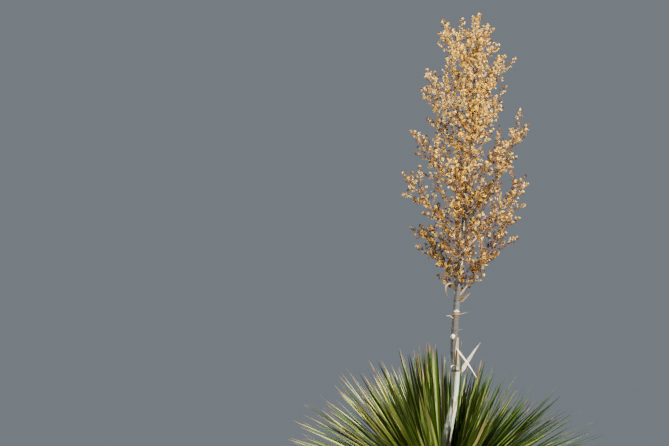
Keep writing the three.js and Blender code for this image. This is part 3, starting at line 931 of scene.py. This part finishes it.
capsuleTints = {
    "cream": (0.9, 0.59, 0.085),
    "straw": (0.7, 0.41, 0.034),
    "gold": (0.37, 0.175, 0.01),
    "amber": (0.14, 0.055, 0.004),
    "brown": (0.046, 0.018, 0.004),
}


def panicleReach(height):
    foot = smoothStep(height, panicle["foot"] - 0.12, panicle["foot"] + 0.76)
    span = panicle["top"] - heart[2] - panicle["narrows"]
    head = max(0.0, (height - panicle["narrows"]) / span)
    return panicle["radius"] * lerp(0.3, 1, foot) * (1 - 0.62 * head**1.5)


def plumeLine(index):
    turned, further, higher = strayBoughs.get(index, (0, 1, 1))
    random = seeded(180 + index)
    level = index / (panicle["boughs"] - 1)
    rise = lerp(panicle["foot"], panicle["head"], level**0.96)
    compass = radians(panicle["firstBough"] + 16 * (random() - 0.5) + turned) + index * goldenTurn
    climb = radians(lerp(*panicle["climb"], level**3) + 8 * (random() - 0.5))
    root = stalkPoints(rise)[0]
    reach = panicleReach(rise + 0.38) * (0.84 + 0.18 * random())
    lift = min(reach * tan(climb) * higher, panicle["top"] - panicle["crownRise"] - root[2])
    reach *= further
    outward = heading(compass, 0)
    middle = root + outward * 0.55 * reach + up * 0.43 * lift
    return Bow(root, middle, root + outward * reach + up * lift)


def crownLine():
    root = stalkPoints(stalk["reach"])[0]
    tip = np.array((heart[0] + panicle["crownShift"], root[1], panicle["top"] - panicle["crownTip"]))
    return Bow(root, (root + tip) / 2 + np.array((0.006, 0, 0)), tip)


plumeLines = [plumeLine(index) for index in range(panicle["boughs"])] + [crownLine()]
linePoints = np.stack([line.points(np.linspace(0, 1, 9)) for line in plumeLines])


def bareShare(index):
    return lerp(*panicle["bare"], index / panicle["boughs"]) if index < panicle["boughs"] else 0.0


def limbRadius(index):
    return lerp(*panicle["boughRadius"], index / panicle["boughs"])


def lineDistances(points):  # from every point to every plume's own line
    starts, ends = linePoints[:, :-1], linePoints[:, 1:]
    spans = ends - starts
    away = points[:, None, None] - starts[None]
    shares = np.clip(np.sum(away * spans, -1) / np.sum(spans * spans, -1), 0, 1)
    return np.linalg.norm(away - shares[..., None] * spans, axis=-1).min(axis=2)


def inOwnSpace(points, index, margin=panicle["margin"]):  # clear of the stalk and of other plumes
    distances = lineDistances(points)
    own = np.maximum(distances[:, index], panicle["boughRadius"][0])
    distances[:, index] = np.inf
    clear = distances.min(axis=1) > own + margin
    if index < panicle["boughs"]:
        rises = np.minimum(points[:, 2] - heart[2], stalk["reach"])
        aside = np.linalg.norm(points - stalkPoints(rises), axis=1)
        clear &= aside > stalkRadius(rises) + margin
    return clear & (points[:, 2] < panicle["top"])


def twigWay(line, share, splay, turn):  # leaves its stem by an angle in degrees and sweeps upward
    way = splayed(line.ways(share)[0], radians(splay), turn)[0]
    return unit(way + panicle["twigSweep"] * up)


def plumeSprays(index):  # twigs as (root, tip) and sprays as (start, end, spread)
    random = seeded(700 + 13 * index)
    line = plumeLines[index]
    start = bareShare(index) + 0.004
    count = round(line.length() * (1 - start) / panicle["twigSpacing"])
    twigEnds, sprays = [], []
    for twig in range(count):
        along = lerp(0.04, 0.94, (twig + 0.5 * random()) / count)
        share = lerp(start, 1, along)
        turn = goldenTurn * twig + radians(50 * random())
        way = twigWay(line, share, 38 + 20 * random(), turn)
        length = lerp(*panicle["twigLength"], along) * (0.6 + 0.6 * random())
        root = line.points(share)[0]
        tip = root + way * length + up * 0.1 * length
        if inOwnSpace(np.array((tip, (root + tip) / 2)), index).all():
            size = panicle["cluster"] * (0.75 + 0.35 * random())
            twigEnds.append((root, tip))
            sprays.append((lerp(root, tip, 0.3), tip + unit(way + up * 0.2) * size * 0.9, size))
        after = lerp(start, 1, min(1.0, along + 0.5 / count))
        seat = line.points(after)[0]
        size = panicle["cluster"] * (0.65 + 0.3 * random())
        sprays.append((seat, seat + twigWay(line, after, 50, turn + pi) * size, size))
    tipWay = line.ways(1.0)[0]
    size = panicle["cluster"] * 0.7
    sprays.append((line.tip - tipWay * 0.04, line.tip + tipWay * size, size))
    return twigEnds, sprays


def finerSprays(index):  # more twigs on the same stem, shorter, in the gaps that the rule leaves
    random = seeded(5000 + 31 * index)
    line = plumeLines[index]
    start = bareShare(index) * 0.75
    ownTwigs = line.length() * (1 - start) / panicle["twigSpacing"]
    count = round(ownTwigs * lerp(*spray["finer"], index / panicle["boughs"]))
    sprays = []
    for twig in range(count):
        along = lerp(start, 0.97, (twig + random()) / count)
        way = twigWay(line, along, 30 + 30 * random(), goldenTurn * twig + 1.0)
        length = lerp(*panicle["twigLength"], along) * (0.5 + 0.5 * random())
        root = line.points(along)[0]
        end = root + way * length
        if inOwnSpace(end[None], index, -spray["overlap"]).all() and end[2] < panicle["top"] - 0.08:
            sprays.append((root, end, panicle["cluster"] * (0.6 + 0.3 * random())))
    return sprays


def lesserBoughs():  # short plumes straight from the stalk, between the model's own
    random = seeded(6400)
    made = []
    count = spray["lesser"] * panicle["boughs"]
    first = radians(panicle["firstBough"] + 70)
    for number in range(count):
        level = (number + 0.5) / count
        rise = lerp(panicle["foot"] + 0.02, stalk["reach"] - 0.05, level)
        climb = radians(lerp(*spray["lesserClimb"], level) + 14 * (random() - 0.5))
        root = stalkPoints(rise)[0]
        reach = panicleReach(rise + 0.25) * lerp(*spray["lesserReach"], level**3)
        reach *= (0.8 + 0.4 * random()) * (spray["spurShare"] if number % 2 == 0 else 1)
        tip = root + heading(first + number * goldenTurn, 0) * reach + up * reach * tan(climb)
        tip[2] = min(tip[2], panicle["top"] - 0.12)
        made.append(Bow(root, (root + tip) / 2 - up * 0.08 * reach, tip))
    return made


def lesserSprays(line, random):
    count = max(3, round(line.length() / spray["lesserSpacing"]))
    sprays = [(line.points(0.8)[0], line.tip + line.ways(1.0)[0] * 0.06, 0.07)]
    for twig in range(count):
        along = lerp(0.08, 0.95, (twig + random()) / count)
        way = twigWay(line, along, 35 + 30 * random(), goldenTurn * twig)
        root = line.points(along)[0]
        sprays.append((root, root + way * (0.06 + 0.08 * random()), panicle["cluster"] * 0.65))
    return sprays


def capsuleShape():  # three blown-up papery lobes with a notch on top, on a pointed foot
    lobe = evenTurns(3)
    valley = lobe + pi / 3
    plan = ((lobe, 0.47, 0.42), (lobe, 0.4, 0.97), (valley, 0.17, 0.62))
    rings = [around(turns) * wide + up * high for turns, wide, high in plan]
    points = np.concatenate([((0, 0, 0), (0, 0, 0.78)), *rings])
    points *= (capsule["width"], capsule["width"], capsule["height"])
    foot, head = 0, 1
    faces = []
    for number in range(3):
        low, high, after, before = 2 + number, 5 + number, 8 + number, 8 + (number + 2) % 3
        faces += [(foot, after, low), (low, after, high), (high, after, head)]
        faces += [(foot, low, before), (low, high, before), (high, head, before)]
    return points, np.array(faces)


def hangCapsules(heap, roots, ways, sizes, turns):
    shape, faces = capsuleShape()
    side = squareTo(ways, turns)
    basis = np.stack((side, np.cross(ways, side), ways), 1)
    points = roots[:, None] + np.einsum("pk,nkc->npc", shape, basis) * sizes[:, None, None]
    first = np.arange(len(roots))[:, None, None] * len(shape)
    heap.add(points, [(first + faces).reshape(-1, 3)])


def hideStalk(points):  # whether capsules would hide the stalk where it shows through the panicle
    stem = seen(stalkPoints(np.linspace(*spray["clearRises"], 9)))
    gap, share, before = besideStalk(points, stem)
    return before & (np.abs(gap) < spray["clearAside"])


def growSprays(starts, tips, sizes, draw, twigHeap, tintHeaps):  # racemes with their capsules
    spans = tips - starts
    level = (starts[:, 2] - heart[2] - panicle["foot"]) / (panicle["head"] - panicle["foot"])
    level = np.clip(level, 0, 1)
    counts = np.linalg.norm(spans, axis=1) / lerp(*spray["racemeSpacing"], level)
    counts = np.maximum(4, counts).astype(int)
    twigs(twigHeap, starts, tips, spray["twigRadius"], spray["racemeRadius"])
    owner = np.repeat(np.arange(len(starts)), counts)
    racemes = len(owner)
    order = np.arange(racemes) - np.repeat(np.cumsum(counts) - counts, counts)
    share = (order + draw(racemes)) / counts[owner]
    lengths = sizes[owner] * spray["spread"] * (0.1 + 0.9 * np.sin(pi * share**0.7))
    lengths = lengths * (0.7 + 0.6 * draw(racemes))
    bases = starts[owner] + spans[owner] * share[:, None]
    turns = order * goldenTurn + anyTurn * draw(len(starts))[owner]
    splays = np.radians(35 + 30 * draw(racemes))
    ways = unit(splayed(unit(spans)[owner], splays, turns) + up * spray["sweep"])
    twigs(twigHeap, bases, bases + ways * lengths[:, None], spray["racemeRadius"], spray["racemeTip"])
    luck = draw(len(starts))[owner] - 0.5
    # Paler high up and towards each spray's tip, browner at its base: partly the age of the fruit and
    # partly painted light and shade.
    freshAndLit = np.clip(0.85 * level[owner] + 0.35 * (share - 0.4) + 0.3 * luck, 0, 1)
    ends = np.array((spray["footOdds"], spray["topOdds"]))
    odds = np.cumsum(lerp(*ends, freshAndLit[:, None]), axis=1)
    tints = np.sum(draw((racemes, 1)) > odds / odds[:, -1:], axis=1)
    each = spray["capsules"]
    spots = (np.arange(each) + 0.4 + 0.6 * draw((racemes, each))) / each
    roots = (bases[:, None] + ways[:, None] * (spots * lengths[:, None])[..., None]).reshape(-1, 3)
    leans = np.radians(40 + 35 * draw(len(roots)))
    spins = (np.arange(each) * goldenTurn + anyTurn * draw((racemes, 1))).ravel()
    stances = splayed(np.repeat(ways, each, 0), leans, spins)
    grown = lerp(*capsule["grown"], draw(len(roots)))
    shown = ~hideStalk(roots)
    for number, heap in enumerate(tintHeaps):
        own = shown & (np.repeat(tints, each) == number)
        hangCapsules(heap, roots[own], stances[own], grown[own], anyTurn * draw(own.sum()))


def limb(heap, line, shares, radii, sides):
    tube(heap, line.points(shares), line.ways(shares), radii, sides)


def makePanicle():
    draw = np.random.default_rng(2024).random
    boughs, stems = Heap(), Heap()
    tintHeaps = [Heap() for tint in capsuleTints]
    twigEnds, sprays = [], []
    for index, line in enumerate(plumeLines):
        bare = bareShare(index)
        root, tip = 1.25 * limbRadius(index), panicle["stemShare"] * limbRadius(index)
        if bare > 0:
            shares = np.linspace(0, bare, 9)
            limb(boughs, line, shares, lerp(root, tip, shares / bare), 10)
        shares = np.linspace(bare, 1, 14)
        limb(stems, line, shares, lerp(tip, panicle["stemTip"], (shares - bare) / (1 - bare)), 6)
        ends, grown = plumeSprays(index)
        twigEnds += ends
        sprays += grown + finerSprays(index)
    random = seeded(7100)
    shares = np.linspace(0, 1, 10)
    for line in lesserBoughs():
        limb(stems, line, shares, lerp(*spray["lesserRadius"], shares), 6)
        sprays += lesserSprays(line, random)
    print(len(sprays), "sprays")
    roots, tips = (np.array(ends) for ends in zip(*twigEnds))
    twigs(stems, roots, tips, spray["twigFoot"], spray["twigRadius"])
    starts, ends, sizes = (np.array(column) for column in zip(*sprays))
    growSprays(starts, ends, sizes, draw, stems, tintHeaps)
    makePiece("boughs", boughs, stemMaterial("bough", panicle["boughTint"]), 60, "bough")
    makePiece("plume_twigs", stems, stemMaterial("twig", panicle["twigTint"]), 60)
    for tint, heap in zip(capsuleTints, tintHeaps):
        replaced = "fruit_mass" if tint == "gold" else None
        makePiece("capsules_" + tint, heap, capsuleMaterial(tint), 0, replaced)


def capsuleMaterial(name):
    shader = Shader("capsule_" + name, 0.2)
    mottle = shader.grain(90, 2, 0.5)
    speck = shader.grain(600, 2, 0.6)
    tone = shader.ramp(mottle, (0.3, 0.5, 0.7), shades(capsuleTints[name], 0.72, 1.0, 1.22))
    return shader.finish(tone, 0.5 + 0.3 * speck, speck, 0.0008, 0.4)


makeTrunk()
makeStubs()
makeLeaves()
makeStalk()
makeSheaths()
makeBracts()
makePanicle()
